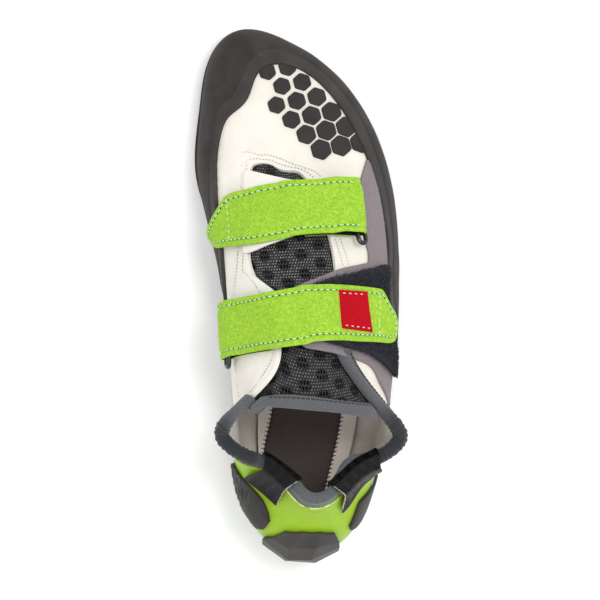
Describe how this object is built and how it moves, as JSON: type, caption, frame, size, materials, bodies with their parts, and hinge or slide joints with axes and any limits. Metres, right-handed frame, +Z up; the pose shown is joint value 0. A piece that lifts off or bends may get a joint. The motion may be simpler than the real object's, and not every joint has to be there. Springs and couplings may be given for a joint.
{
  "type": "climbing shoe",
  "caption": "Right climbing shoe with a hollow leather upper, flat rubber sole and rand, mesh tongue, hook-and-loop straps through wire rings, and pull loops at the heel.",
  "frame": {"origin": "middle of the shoe's outer box at the ground plane under the sole", "axes": "+Y towards the toe, +X towards the little-toe side of this right shoe, +Z up"},
  "size_m": [0.0979, 0.257, 0.0916],
  "materials": {
    "white_leather": "smooth microfibre, matte",
    "black_rubber": "matte climbing rubber",
    "lime_rubber": "satin moulded rubber",
    "lime_suede": "fine nap",
    "grey_suede": "fine nap",
    "navy_pile": "looped pile",
    "black_mesh": "knitted spacer mesh",
    "grey_binding": "woven elastic binding",
    "black_tape": "satin woven tape",
    "red_label": "woven label",
    "dark_wire": "glossy dark wire",
    "brown_footbed": "matte footbed board"
  },
  "bodies": {
    "root": {"upper": "white_leather", "outsole": "black_rubber", "insole": "brown_footbed", "rand": "black_rubber", "tongue": "black_mesh", "toe_patch": "black_rubber", "heel_cup": "lime_rubber", "heel_inset_medial": "black_rubber", "heel_inset_lateral": "black_rubber", "heel_pad": "black_rubber", "medial_flap": "white_leather", "lateral_flap": "grey_suede", "loop_patch": "navy_pile", "collar_binding": "grey_binding", "quarter_binding": "grey_binding", "tongue_binding": "grey_binding", "pull_loop_medial": "black_tape", "pull_loop_lateral": "black_tape", "strap_front": "lime_suede", "ring_front": "dark_wire", "strap_rear": "lime_suede", "ring_rear": "dark_wire", "strap_label": "red_label"}
  },
  "joints": []
}
